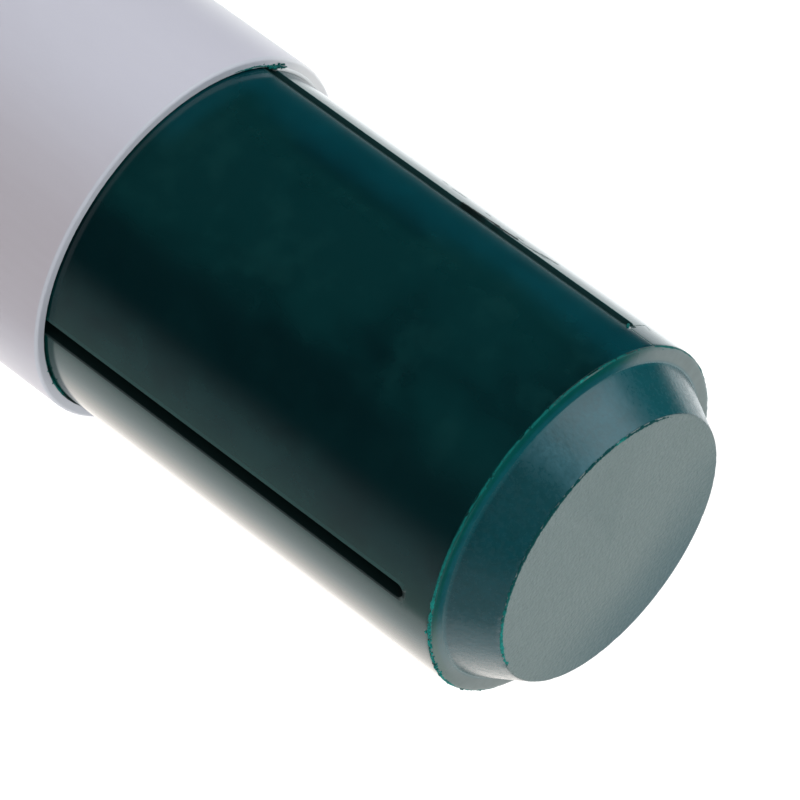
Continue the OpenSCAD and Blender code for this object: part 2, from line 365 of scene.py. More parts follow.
def ring_mesh(name, rows, foot):
    """A closed mesh of rings of (angle, radius, height) points, from the axis out and back to it."""
    angle, radius, height = rows[..., 0], rows[..., 1], rows[..., 2]
    points = np.stack([radius * np.cos(angle), radius * np.sin(angle), height + foot], axis=-1) * MM
    rings, count = points.shape[0] - 2, points.shape[1]
    verts = [points[0, 0]] + list(points[1:-1].reshape(-1, 3)) + [points[-1, 0]]
    faces = []
    for j in range(count):
        k = (j + 1) % count
        faces.append((0, 1 + k, 1 + j))
        faces += [(1 + i * count + j, 1 + i * count + k, 1 + (i + 1) * count + k, 1 + (i + 1) * count + j)
                  for i in range(rings - 1)]
        top = 1 + (rings - 1) * count
        faces.append((top + j, top + k, len(verts) - 1))
    mesh = bpy.data.meshes.new(name)
    mesh.from_pydata(verts, [], faces)
    return mesh


def place(name, mesh, body, material, sharp=40):
    """An object of a mesh, smooth but for its sharp edges, that rides on a body."""
    mesh.polygons.foreach_set("use_smooth", [True] * len(mesh.polygons))
    mesh.set_sharp_from_angle(angle=math.radians(sharp))
    mesh.materials.append(material)
    piece = bpy.data.objects.new(name, mesh)
    scene.collection.objects.link(piece)
    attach(piece, body)
    return piece


def shader_group(name, inputs, outputs):
    """An empty shader node group, with its own input and output sockets for numbers."""
    tree = bpy.data.node_groups.new(name, "ShaderNodeTree")
    for label, value in inputs.items():
        tree.interface.new_socket(label, in_out="INPUT", socket_type="NodeSocketFloat").default_value = value
    for label in outputs:
        tree.interface.new_socket(label, in_out="OUTPUT", socket_type="NodeSocketFloat")
    return tree, tree.nodes.new("NodeGroupInput").outputs, tree.nodes.new("NodeGroupOutput").inputs


def use(tree, group, inputs=None):
    """The outputs of a node group that is placed in a material or in another group."""
    return add(tree, "ShaderNodeGroup", inputs, node_tree=group).outputs


def product(tree, *values):
    """The product of several values."""
    result = values[0]
    for value in values[1:]:
        result = maths(tree, "MULTIPLY", result, value)
    return result


# Where a point lies on the stick: its angle in degrees, and its radius and height in mm.
stick_place, _, put = shader_group("stick_place", {}, ("Angle", "Radius", "Height"))
spot = add(stick_place, "ShaderNodeTexCoord").outputs["Object"]
spot = add(stick_place, "ShaderNodeSeparateXYZ", {0: spot}).outputs
turned = maths(stick_place, "DEGREES", maths(stick_place, "ARCTAN2", spot["Y"], spot["X"]))
stick_place.links.new(maths(stick_place, "FLOORED_MODULO", turned, 360.0), put["Angle"])
across = add(stick_place, "ShaderNodeCombineXYZ", {0: spot["X"], 1: spot["Y"]}).outputs[0]
across = add(stick_place, "ShaderNodeVectorMath", {0: across}, operation="LENGTH").outputs["Value"]
stick_place.links.new(maths(stick_place, "DIVIDE", across, MM), put["Radius"])
stick_place.links.new(maths(stick_place, "DIVIDE", spot["Z"], MM), put["Height"])

# How near a point's angle is to a given side: 1 there, falling to 0 at so many degrees.
beside, take, put = shader_group("beside", {"Side": 0, "Full": 10, "Gone": 30, "Wander": 0}, ("Mask",))
here = use(beside, stick_place)
apart = maths(beside, "ADD", maths(beside, "SUBTRACT", here["Angle"], take["Side"]), 180.0)
apart = maths(beside, "SUBTRACT", maths(beside, "FLOORED_MODULO", apart, 360.0), 180.0)
apart = maths(beside, "ADD", maths(beside, "ABSOLUTE", apart), take["Wander"])
beside.links.new(ramp(beside, apart, take["Gone"], take["Full"]), put["Mask"])


def near_side(tree, side, full, gone, wander=0.0):
    """A mask of one side of the stick, with how far off it is full and how far off it is gone."""
    return use(tree, beside, {"Side": side, "Full": full, "Gone": gone, "Wander": wander})["Mask"]


# Mottling from 0 to 1 with about one patch to each 1/Scale mm, drawn out along the stick.
MOTTLE_ROUGHNESS = 0.55
mottle, take, put = shader_group("mottle", {"Scale": 1, "Detail": 2, "Draw": 1, "Seed": 0}, ("Value",))
spot = add(mottle, "ShaderNodeTexCoord").outputs["Object"]
drawn = maths(mottle, "DIVIDE", 1 / MM, take["Draw"])
shrink = add(mottle, "ShaderNodeCombineXYZ", {0: 1 / MM, 1: 1 / MM, 2: drawn}).outputs[0]
spot = add(mottle, "ShaderNodeVectorMath", {0: spot, 1: shrink}, operation="MULTIPLY").outputs[0]
noise = {"Vector": spot, "W": take["Seed"], "Scale": take["Scale"], "Detail": take["Detail"],
         "Roughness": MOTTLE_ROUGHNESS}
noise = add(mottle, "ShaderNodeTexNoise", noise, noise_dimensions="4D").outputs[0]
mottle.links.new(ramp(mottle, noise, 0.2, 0.8), put["Value"])


def mottled(tree, scale, detail=2.0, draw=1.0, seed=0.0):
    """Mottling of one fineness."""
    return use(tree, mottle, {"Scale": scale, "Detail": detail, "Draw": draw, "Seed": seed})["Value"]


# A scratch from one place on the side to another, as a mask with a ragged edge.
SCRATCH_ENDS = ("Angle 1", "Height 1", "Angle 2", "Height 2", "Width")
SCRATCH_RAGGED = 0.12
scratch, take, put = shader_group("scratch", dict(zip(SCRATCH_ENDS, (0, 0, 0, 1, 0.1))), ("Mask",))
here = use(scratch, stick_place)


def side_spot(tree, angle, height):
    """A place on the side of the stick, unrolled flat, in mm."""
    round_the_side = maths(tree, "MULTIPLY", angle, math.radians(WAX_R))
    return add(tree, "ShaderNodeCombineXYZ", {0: round_the_side, 1: height}).outputs[0]


def vectors(tree, operation, first, second):
    """The output of a Vector Math node."""
    made = add(tree, "ShaderNodeVectorMath", {0: first, 1: second}, operation=operation)
    return made.outputs["Value" if operation in ("DOT_PRODUCT", "DISTANCE") else "Vector"]


one = side_spot(scratch, take["Angle 1"], take["Height 1"])
two = side_spot(scratch, take["Angle 2"], take["Height 2"])
point = vectors(scratch, "SUBTRACT", side_spot(scratch, here["Angle"], here["Height"]), one)
line = vectors(scratch, "SUBTRACT", two, one)
along = vectors(scratch, "DOT_PRODUCT", point, line)
along = maths(scratch, "DIVIDE", along, vectors(scratch, "DOT_PRODUCT", line, line))
along = add(scratch, "ShaderNodeClamp", {0: along}).outputs[0]
along = add(scratch, "ShaderNodeCombineXYZ", {0: along, 1: along, 2: along}).outputs[0]
away = vectors(scratch, "DISTANCE", point, vectors(scratch, "MULTIPLY", line, along))
fine = mottled(scratch, 6.0)
ragged = maths(scratch, "MULTIPLY_ADD", fine, SCRATCH_RAGGED, -SCRATCH_RAGGED / 2)
away = maths(scratch, "DIVIDE", maths(scratch, "ADD", away, ragged), take["Width"])
scratch.links.new(ramp(scratch, away, 1.0, 0.2), put["Mask"])


def scratched(tree, marks):
    """A mask of several scratches: the angle and height of each one's two ends, and its width."""
    masks = 0.0
    for mark in marks:
        mask = use(tree, scratch, dict(zip(SCRATCH_ENDS, mark)))["Mask"]
        masks = maths(tree, "MAXIMUM", mask, masks)
    return masks


def new_finish(name):
    """A new material, with its node tree and its shader."""
    material = bpy.data.materials.new(name)
    material.use_nodes = True
    return material, material.node_tree, material.node_tree.nodes["Principled BSDF"]


def coat(tree, shader, colour, roughness, index, relief=None, relief_depth=0.0):
    """Give a finish's shader its colour, roughness, index of refraction and fine relief."""
    tree.links.new(colour, shader.inputs["Base Color"])
    tree.links.new(roughness, shader.inputs["Roughness"])
    shader.inputs["IOR"].default_value = index
    if relief is not None:
        bump = add(tree, "ShaderNodeBump", {"Height": relief, "Strength": 1.0, "Distance": relief_depth})
        tree.links.new(bump.outputs[0], shader.inputs["Normal"])


# The wax's shades: of the side, the grooves, the tip, the rim and the disc.
WAX_DEEP = (0.0005, 0.022, 0.024, 1)
WAX_DARKER = (0.0004, 0.0095, 0.0115, 1)
WAX_LIGHTER = (0.003, 0.033, 0.034, 1)
WAX_BLUE = (0.0008, 0.043, 0.056, 1)
WAX_GREEN = (0.0015, 0.034, 0.029, 1)
WAX_GROOVE_SHADE = (0.0002, 0.012, 0.012, 1)
WAX_LIT_GROOVE = (0.0006, 0.036, 0.038, 1)
WAX_GROOVE_SHEEN = (0.025, 0.11, 0.115, 1)
WAX_SIDE_OF_TIP = (0.0015, 0.048, 0.06, 1)
WAX_BLOOM_HIGHLIGHT = (0.02, 0.105, 0.135, 1)
WAX_EDGE = (0.0004, 0.026, 0.027, 1)
WAX_RIM = (0.0004, 0.066, 0.06, 1)
WAX_RIM_INNER_HIGHLIGHT = (0.004, 0.075, 0.092, 1)
WAX_CREASE_HIGHLIGHT = (0.004, 0.082, 0.098, 1)
WAX_DULL_RIM = (0.088, 0.134, 0.134, 1)
WAX_FLAT = (0.145, 0.19, 0.188, 1)
WAX_FLAT_DARK = (0.075, 0.125, 0.135, 1)
WAX_SCRAPED_AND_HIGHLIGHT = (0.012, 0.065, 0.06, 1)
WAX_INDEX = 1.45
WAX_RELIEF = 0.04 * MM
RIM_Z = WAX_FOOT + RIM
DISC_Z = WAX_FOOT + WAX_LENGTH
GROOVE_TOP_Z = WAX_FOOT + GROOVE_TOP
# Sides of the stick: each one's angle, and how far off its mask is full and gone, in degrees.
DARKER_SIDE = (298.0, 6.0, 22.0)
BLUE_SIDE = (212.0, 8.0, 27.0)
LIP_REFLECTION_SIDE = (238.0, 14.0, 28.0)
GREEN_SIDE = (350.0, 16.0, 34.0)
LIT_SIDE = (GROOVE_ANGLES[1], 5.0, 10.0)
BLOOM_HIGHLIGHT_SIDE = (250.0, 12.0, 30.0)
CLEAR_SIDE = (292.0, 60.0, 84.0)
DISC_DARK_SIDE = (98.0, 12.0, 90.0)

green_wax, tree, shader = new_finish("green_wax")
here = use(tree, stick_place)
soft = mottled(tree, 0.09, detail=3.0, draw=1.6, seed=3.0)
cloud = mottled(tree, 0.3, detail=5.0, seed=8.0)
grain = mottled(tree, 3.4)
coarse = mottled(tree, 1.4, detail=3.0, seed=5.0)
brushed = mottled(tree, 2.2, draw=1.5, seed=2.0)

# The side is a deep green, bluer beside one groove. Just out of the barrel's mouth, a bluer band on one
# side is a painted reflection of the lip.
LIGHTER_SHARE = 0.45
DARKER_SHARE = 0.75
LIP_REFLECTION_SHARE = 0.55
GREEN_SHARE = 0.8
LIP_REFLECTION_HEIGHT = 105.4
LIP_REFLECTION_FADE = (2.2, 0.3)
drift = maths(tree, "MULTIPLY_ADD", soft, 14.0, -7.0)
colour = mix(tree, ramp(tree, soft, 0.1, 0.7), WAX_DARKER, WAX_DEEP)
colour = mix(tree, product(tree, ramp(tree, cloud, 0.4, 0.95), LIGHTER_SHARE), colour, WAX_LIGHTER)
darker_side = near_side(tree, *DARKER_SIDE, drift)
colour = mix(tree, product(tree, darker_side, DARKER_SHARE), colour, WAX_DARKER)
blue_side = near_side(tree, *BLUE_SIDE, drift)
bluer = product(tree, blue_side, maths(tree, "MULTIPLY_ADD", cloud, 0.3, 0.6))
colour = mix(tree, bluer, colour, WAX_BLUE)
# Painted reflection: a bluer band on the wax just out of the barrel's mouth stands for the lip mirrored in
# it.
from_lip_reflection = maths(tree, "ABSOLUTE", maths(tree, "SUBTRACT", here["Height"], LIP_REFLECTION_HEIGHT))
lip_reflection = product(tree, ramp(tree, from_lip_reflection, *LIP_REFLECTION_FADE), near_side(tree, *LIP_REFLECTION_SIDE))
colour = mix(tree, product(tree, lip_reflection, LIP_REFLECTION_SHARE), colour, WAX_BLUE)
green_side = near_side(tree, *GREEN_SIDE)
colour = mix(tree, product(tree, green_side, GREEN_SHARE), colour, WAX_GREEN)

# The ribs have marked the wax with a thin line on both sides of each groove. The paler band before each
# groove and the paler stretch beside the blue groove are painted highlights, and the grooves are painted
# shade, with a dull rolled edge past each one and at its end.
GROOVE_HIGHLIGHT_WIDTH = (0.42, 0.36)
GROOVE_SHEEN_WIDTH = (2.2, 0.2)
GROOVE_SHEEN_SHARE = 0.18
PRESS_LINE = 0.45
PRESS_LINE_WIDTH = (0.05, 0.02)
PRESS_LINE_SHARE = 0.45
ROLLED_WIDTH = (0.34, 0.16)
off_groove = maths(tree, "SUBTRACT", here["Angle"], GROOVE_ANGLES[0] - GROOVE_PITCH / 2)
off_groove = maths(tree, "FLOORED_MODULO", off_groove, GROOVE_PITCH)
off_groove = maths(tree, "SUBTRACT", off_groove, GROOVE_PITCH / 2)
past_groove = maths(tree, "GREATER_THAN", off_groove, 0.0)
before_groove = maths(tree, "SUBTRACT", 1.0, past_groove)
from_groove = maths(tree, "ABSOLUTE", off_groove)
from_groove = maths(tree, "MULTIPLY_ADD", from_groove, math.radians(WAX_R), -GROOVE_HALF)
below_groove_top = ramp(tree, here["Height"], GROOVE_TOP_Z + 0.3, GROOVE_TOP_Z - 0.5)
# Painted highlight: a paler band along one edge of each groove.
groove_highlight = product(tree, ramp(tree, from_groove, *GROOVE_HIGHLIGHT_WIDTH), before_groove, below_groove_top,
               maths(tree, "MULTIPLY_ADD", cloud, 0.2, 0.15))
colour = mix(tree, groove_highlight, colour, WAX_SCRAPED_AND_HIGHLIGHT)
# Painted sheen: a paler stretch beside the blue groove, fading away from it.
groove_sheen = product(tree, ramp(tree, from_groove, *GROOVE_SHEEN_WIDTH), blue_side, below_groove_top, GROOVE_SHEEN_SHARE)
colour = mix(tree, groove_sheen, colour, WAX_GROOVE_SHEEN)
from_line = maths(tree, "ABSOLUTE", maths(tree, "SUBTRACT", from_groove, PRESS_LINE))
press_line = product(tree, ramp(tree, from_line, *PRESS_LINE_WIDTH), below_groove_top, PRESS_LINE_SHARE)
colour = mix(tree, press_line, colour, WAX_EDGE)
below_rim = ramp(tree, here["Height"], RIM_Z, RIM_Z - 0.3)
# Painted shade: the grooves are painted dark, and so are a rolled edge past each one and its end. Painted
# light: the lit groove is lighter.
groove_shade = product(tree, ramp(tree, here["Radius"], WAX_R - 0.018, WAX_R - 0.07), below_rim)
rolled_edge = product(tree, ramp(tree, from_groove, *ROLLED_WIDTH), past_groove, below_groove_top)
groove_end = product(tree, ramp(tree, from_groove, -0.15, -0.4),
                     ramp(tree, here["Height"], GROOVE_TOP_Z - 0.3, GROOVE_TOP_Z - 0.1),
                     ramp(tree, here["Height"], GROOVE_TOP_Z + 0.32, GROOVE_TOP_Z + 0.16))
groove_shade = maths(tree, "MAXIMUM", groove_shade, maths(tree, "MAXIMUM", rolled_edge, groove_end))
lit_groove = near_side(tree, *LIT_SIDE)
colour = mix(tree, groove_shade, colour, mix(tree, lit_groove, WAX_GROOVE_SHADE, WAX_LIT_GROOVE))

# The rim is a clear teal, duller on the far side, with a painted highlight on its inner part. The tip's side
# is cloudy and faintly brushed, as the mould leaves it, with a painted highlight in its bloom on one side,
# the same pale blue beside the blue groove, and a painted highlight line in the crease between the two.
CREASE_HIGHLIGHT_SHARE = 0.6
TIP_BLUE_SHARE = 0.45
above_side = ramp(tree, here["Height"], RIM_Z - 0.3, RIM_Z - 0.1)
on_rim = product(tree, above_side, ramp(tree, here["Radius"], TIP_FOOT_R - 0.1, TIP_FOOT_R + 0.2))
on_tip = maths(tree, "SUBTRACT", above_side, on_rim)
tip_colour = mix(tree, product(tree, brushed, 0.4), WAX_SIDE_OF_TIP, WAX_EDGE)
# Painted highlight: a paler, cloudy bloom colour on one side of the tip widens the lamp's reflection there.
bloom_highlight_side = near_side(tree, *BLOOM_HIGHLIGHT_SIDE, drift)
bloom_highlight = maths(tree, "MULTIPLY_ADD", bloom_highlight_side, 0.95, 0.05)
net = mottled(tree, 3.2, detail=3.0, seed=12.0)
cloudy_net = maths(tree, "MULTIPLY_ADD", net, 0.45, maths(tree, "MULTIPLY_ADD", cloud, 0.6, 0.05))
tip_colour = mix(tree, product(tree, bloom_highlight, cloudy_net), tip_colour, WAX_BLOOM_HIGHLIGHT)
tip_colour = mix(tree, product(tree, blue_side, TIP_BLUE_SHARE), tip_colour, WAX_CREASE_HIGHLIGHT)
colour = mix(tree, on_tip, colour, tip_colour)
clear_side = near_side(tree, *CLEAR_SIDE)
# Painted highlight: the rim's inner part, next to the crease, is paler.
rim_width = ramp(tree, here["Radius"], TIP_FOOT_R + 0.35, TIP_FOOT_R + 0.8)
rim_colour = mix(tree, rim_width, WAX_RIM_INNER_HIGHLIGHT, WAX_RIM)
rim_colour = mix(tree, clear_side, WAX_DULL_RIM, rim_colour)
mottled_rim = product(tree, on_rim, maths(tree, "MULTIPLY_ADD", coarse, 0.3, 0.7))
colour = mix(tree, mottled_rim, colour, rim_colour)
# Painted highlight: a paler line in the crease between the rim and the tip's side.
from_crease = maths(tree, "ABSOLUTE", maths(tree, "SUBTRACT", here["Radius"], TIP_FOOT_R))
crease_highlight = product(tree, ramp(tree, from_crease, 0.22, 0.08), above_side,
                 ramp(tree, here["Height"], RIM_Z + 0.4, RIM_Z + 0.2), CREASE_HIGHLIGHT_SHARE)
colour = mix(tree, crease_highlight, colour, WAX_CREASE_HIGHLIGHT)

# The disc on the end is dull and pale, darker to one side.
GRAIN_SHARE = 0.12
on_disc = ramp(tree, here["Height"], DISC_Z - 0.1, DISC_Z - 0.04)
dark_side = near_side(tree, *DISC_DARK_SIDE, product(tree, drift, 2.0))
dark_side = product(tree, dark_side, ramp(tree, here["Radius"], 3.0, TIP_R))
flat_colour = mix(tree, dark_side, WAX_FLAT, WAX_FLAT_DARK)
flat_colour = mix(tree, product(tree, grain, GRAIN_SHARE), flat_colour, WAX_FLAT_DARK)
colour = mix(tree, on_disc, colour, flat_colour)

# Torn places along the far edge of one groove, painted in the grooves' dark shade.
TORN_PLACES = [
    (207.7, 124.4, 206.9, 126.4, 0.34), (207.2, 126.2, 205.9, 127.6, 0.3), (206.9, 127.6, 205.9, 129.4, 0.34)]
torn = scratched(tree, TORN_PLACES)
colour = mix(tree, torn, colour, WAX_GROOVE_SHADE)

# Scuffs on the side, with the wax scraped to a duller, lighter green.
SCUFFS = [
    (212.4, 142.2, 212.8, 144.4, 0.09), (208.8, 141.8, 200.6, 141.55, 0.08),
    (200.6, 141.55, 202.3, 142.3, 0.08), (199.3, 120.9, 199.6, 121.3, 0.16),
    (200.6, 122.1, 199.6, 123.2, 0.2), (201.2, 125.6, 201.4, 126.0, 0.14),
    (203.8, 129.2, 203.4, 129.7, 0.16), (206.6, 130.4, 204.4, 131.6, 0.2),
    (206.2, 131.2, 203.4, 132.2, 0.16), (203.6, 131.6, 201.6, 132.9, 0.2),
    (205.2, 132.0, 202.6, 133.0, 0.12), (206.9, 129.4, 206.2, 130.6, 0.16),
    (337.9, 144.25, 337.2, 144.65, 0.16)]
scuffs = product(tree, scratched(tree, SCUFFS), below_rim)
colour = mix(tree, scuffs, colour, WAX_SCRAPED_AND_HIGHLIGHT)

# The side and the clear rim are glossy. The disc, the grooves and the scuffs are dull.
DISC_DULL = 0.5
GROOVE_DULL = 0.6
SCUFF_DULL = 0.3
roughness = maths(tree, "MULTIPLY_ADD", soft, 0.05, 0.14)
tip_dull = maths(tree, "MULTIPLY_ADD", bloom_highlight_side, 0.12, maths(tree, "MULTIPLY_ADD", net, 0.14, 0.02))
roughness = maths(tree, "ADD", roughness, product(tree, on_tip, tip_dull))
dull_rim = product(tree, on_rim, maths(tree, "MULTIPLY_ADD", clear_side, -0.25, 0.25))
roughness = maths(tree, "ADD", roughness, dull_rim)
dull = product(tree, on_disc, DISC_DULL)
dull = maths(tree, "MAXIMUM", dull, product(tree, maths(tree, "MAXIMUM", groove_shade, torn), GROOVE_DULL))
dull = maths(tree, "MAXIMUM", dull, product(tree, scuffs, SCUFF_DULL))
roughness = maths(tree, "ADD", roughness, dull)

# Fine relief: a grainy disc, a brushed tip, shallow scuffs, and a rim that is worn off a
# little towards its edge on the clear side.
DISC_GRAIN = 2.6
TIP_BRUSHED = 0.2
SIDE_BRUSHED = 0.006
SCUFF_DEPTH = -0.4
RIM_WORN = 8.0
TIP_NET = 0.02
relief = product(tree, maths(tree, "MULTIPLY_ADD", grain, DISC_GRAIN, coarse), on_disc)
brushing = product(tree, brushed, maths(tree, "MULTIPLY_ADD", on_tip, TIP_BRUSHED, SIDE_BRUSHED))
relief = maths(tree, "ADD", relief, brushing)
relief = maths(tree, "ADD", relief, product(tree, scuffs, SCUFF_DEPTH))
worn = product(tree, on_rim, clear_side, ramp(tree, here["Height"], RIM_Z - 0.22, RIM_Z - 0.12))
worn = product(tree, worn, maths(tree, "SUBTRACT", TIP_FOOT_R + 0.05, here["Radius"]))
relief = maths(tree, "ADD", relief, product(tree, worn, RIM_WORN))
relief = maths(tree, "ADD", relief, product(tree, on_tip, net, TIP_NET))
coat(tree, shader, colour, roughness, WAX_INDEX, relief, WAX_RELIEF)

crayon_wax = place("crayon_wax", ring_mesh("crayon_wax", rows, WAX_FOOT), "wax", green_wax)
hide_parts("crayon")

# ------------------------------------------------------------ rim line
# Where the mould parted, the rim's edge is a ragged line of scraped, bright wax, with
# crumbs of it clinging to the rim, to the disc's edge and to the end of one groove.
BEAD_SIDES = 8


def wander(rng, count, lumps):
    """Smooth random values along a line, from about -1 to 1, with so many lumps."""
    knots = rng.uniform(-1, 1, lumps)
    at = np.arange(count) / count * lumps
    low = np.floor(at).astype(int)
    share = at - low
    share = share * share * (3 - 2 * share)
    return knots[low % lumps] * (1 - share) + knots[(low + 1) % lumps] * share


def bead_mesh(name, angles, radii, heights, sizes, closed=True):
    """A lumpy bead along an arc round the stick: a closed ring, or a stretch with two ends."""
    around = np.linspace(0, 2 * math.pi, BEAD_SIDES, endpoint=False)
    out = radii[:, None] + sizes[:, None] * np.cos(around)
    up = heights[:, None] + sizes[:, None] * np.sin(around)
    points = np.stack([out * np.cos(angles)[:, None], out * np.sin(angles)[:, None], up], axis=-1) * MM
    count, sides = len(angles), BEAD_SIDES
    faces = [(i * sides + j, (i + 1) % count * sides + j, (i + 1) % count * sides + (j + 1) % sides,
              i * sides + (j + 1) % sides)
             for i in range(count if closed else count - 1) for j in range(sides)]
    if not closed:
        faces += [tuple(range(sides)), tuple(reversed(range((count - 1) * sides, count * sides)))]
    mesh = bpy.data.meshes.new(name)
    mesh.from_pydata(points.reshape(-1, 3).tolist(), [], faces)
    return mesh


SCRAPED = (0.0005, 0.1, 0.092, 1)
SCRAPED_PALE = (0.012, 0.26, 0.23, 1)
SCRAPED_THIN = (0.0005, 0.04, 0.042, 1)
SCRAPED_SPECK = (0.0003, 0.02, 0.02, 1)
SCRAPED_SHADE_AT_DISC = (0.0003, 0.04, 0.043, 1)
SCRAPED_INDEX = 1.2
SCRAPED_RELIEF = 0.03 * MM
PALE_SIDE = (352.0, 12.0, 50.0)
PALE_SPOT = (244.0, 1.0, 4.0)

scraped_wax, tree, shader = new_finish("scraped_wax")
pale_side = maths(tree, "MAXIMUM", near_side(tree, *PALE_SIDE), near_side(tree, *PALE_SPOT))
patch = mottled(tree, 2.2, detail=3.0, seed=1.0)
speck = mottled(tree, 5.0, seed=4.0)
colour = mix(tree, product(tree, pale_side, patch), SCRAPED, SCRAPED_PALE)
colour = mix(tree, product(tree, ramp(tree, patch, 0.5, 0.1), 0.6), colour, SCRAPED_THIN)
colour = mix(tree, ramp(tree, speck, 0.75, 0.9), colour, SCRAPED_SPECK)
height = use(tree, stick_place)["Height"]
# Painted shade: near the disc the scraped wax is darker, but hardly on the pale side.
shade_at_disc = product(tree, ramp(tree, height, RIM_Z + 1, RIM_Z + 2),
                  maths(tree, "MULTIPLY_ADD", pale_side, -0.8, 0.9))
colour = mix(tree, shade_at_disc, colour, SCRAPED_SHADE_AT_DISC)
roughness = maths(tree, "MULTIPLY_ADD", patch, 0.2, 0.6)
coat(tree, shader, colour, roughness, SCRAPED_INDEX, speck, SCRAPED_RELIEF)

RIM_LINE_COLUMNS = 1400
RIM_LINE_SIZE = 0.12
RIM_LINE_LEAST = 0.04
RIM_LINE_TURN = math.radians(38)
RAGGED_SIDE = math.radians(350)
rng = np.random.default_rng(21)
all_round = np.linspace(0, 2 * math.pi, RIM_LINE_COLUMNS, endpoint=False)
lumpy = 0.6 * wander(rng, RIM_LINE_COLUMNS, 60) + 0.4 * wander(rng, RIM_LINE_COLUMNS, 350)
ragged_side = np.clip((np.cos(all_round - RAGGED_SIDE) - 0.75) / 0.25, 0, 1)
size = RIM_LINE_SIZE + 0.03 * lumpy + 0.04 * ragged_side * (0.5 + wander(rng, RIM_LINE_COLUMNS, 700))
size = np.maximum(size, RIM_LINE_LEAST)
inset = RIM_ROUND - 0.1
out = WAX_R - RIM_ROUND + inset * math.cos(RIM_LINE_TURN) + 0.015 * wander(rng, RIM_LINE_COLUMNS, 240)
up = RIM_Z - RIM_ROUND + inset * math.sin(RIM_LINE_TURN) + 0.02 * wander(rng, RIM_LINE_COLUMNS, 90)
place("rim_line", bead_mesh("rim_line", all_round, out, up, size), "wax", scraped_wax, 60)

# The disc's edge is torn in the same way, on the side where the mould was worn, and the bead there is darker,
# as painted shade of the disc's rounded edge.
DISC_LINE_COLUMNS = 900
DISC_LINE_START, DISC_LINE_END = math.radians(214), math.radians(372)
DISC_LINE_SIZE = 0.14
DISC_LINE_LEAST = 0.015
torn_round = np.linspace(DISC_LINE_START, DISC_LINE_END, DISC_LINE_COLUMNS)
along = np.linspace(0, 1, DISC_LINE_COLUMNS)
size = DISC_LINE_SIZE + 0.015 * wander(rng, DISC_LINE_COLUMNS, 60)
size += 0.02 * wander(rng, DISC_LINE_COLUMNS, 260)
size = np.maximum(size * np.clip(0.6 + 4 * along, 0, 1) * np.clip(6 * (1 - along), 0, 1), DISC_LINE_LEAST)
out = TIP_R - 0.1 + 0.03 * wander(rng, DISC_LINE_COLUMNS, 150)
up = np.full(DISC_LINE_COLUMNS, DISC_Z - 0.09)
disc_line = bead_mesh("disc_line", torn_round, out, up, size, closed=False)
place("disc_line", disc_line, "wax", scraped_wax, 60)

CRUMB_ROUGH = 0.28


def crumb_mesh(name, crumbs, seed):
    """Small rough lumps, each given by (angle, radius, height, size, stretch round, stretch up)."""
    rng = np.random.default_rng(seed)
    work = bmesh.new()
    for angle, radius, height, size, long_round, long_up in crumbs:
        angle = math.radians(angle)
        made = bmesh.ops.create_icosphere(work, subdivisions=2, radius=1.0)["verts"]
        outward = Vector((math.cos(angle), math.sin(angle), 0))
        sideways = Vector((-math.sin(angle), math.cos(angle), 0))
        centre = outward * radius + Vector((0, 0, height))
        for vert in made:
            spot = vert.co * (1 + rng.uniform(-CRUMB_ROUGH, CRUMB_ROUGH)) * size
            beside_axis = centre + outward * spot.x + sideways * spot.y * long_round
            vert.co = (beside_axis + Vector((0, 0, spot.z * long_up))) * MM
    mesh = bpy.data.meshes.new(name)
    work.to_mesh(mesh)
    work.free()
    return mesh


# The crumbs that stand out, and then many small ones along the rim's edge.
RIM_CRUMB_R = 14.86
crumbs = [
    (211.6, 14.98, 141.72, 0.16, 1.5, 0.8), (212.6, 15.0, 141.9, 0.1, 1.2, 1.0),
    (337.9, 14.98, 144.3, 0.12, 1.4, 0.7), (337.3, 14.95, 144.55, 0.12, 0.9, 1.4),
    (345.8, 11.5, DISC_Z - 0.1, 0.1, 1.3, 0.8), (356.6, 11.42, DISC_Z - 0.06, 0.13, 1.6, 0.7),
    (357.6, 11.5, DISC_Z - 0.12, 0.1, 1.0, 1.0), (335.0, 11.47, DISC_Z - 0.08, 0.08, 1.2, 0.9),
    (257.9, RIM_CRUMB_R, RIM_Z - 0.07, 0.07, 1.6, 0.8)]
for angle in np.concatenate([rng.normal(356, 11, 46), rng.uniform(318, 350, 16), rng.uniform(0, 360, 18)]):
    crumbs.append((angle, RIM_CRUMB_R + rng.uniform(-0.1, 0.1), RIM_Z - 0.1 + rng.uniform(-0.12, 0.07),
                   rng.uniform(0.04, 0.12), rng.uniform(0.8, 1.8), rng.uniform(0.7, 1.2)))
place("tip_crumbs", crumb_mesh("tip_crumbs", crumbs, seed=5), "wax", scraped_wax, 70)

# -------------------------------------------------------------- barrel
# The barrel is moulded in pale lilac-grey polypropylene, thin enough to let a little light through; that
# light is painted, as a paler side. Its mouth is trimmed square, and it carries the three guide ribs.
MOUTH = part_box("barrel")[1].z / MM
LIP_DEPTH = 0.32
PLASTIC = (0.47, 0.472, 0.54, 1)
PLASTIC_WARM_SHADE = (0.405, 0.375, 0.41, 1)
PLASTIC_PALE = (0.52, 0.525, 0.58, 1)
PLASTIC_LIP_SHADE = (0.44, 0.465, 0.52, 1)
PLASTIC_LIT = (0.68, 0.69, 0.70, 1)
PLASTIC_INDEX = 1.49
PLASTIC_RELIEF = 0.003 * MM
WARM_SHADE_SHARE = 0.9
STREAK_SHARE = 0.1
SHADED_PLASTIC_SIDE = (314.0, 8.0, 62.0)
LIT_PLASTIC_SIDE = (186.0, 4.0, 34.0)


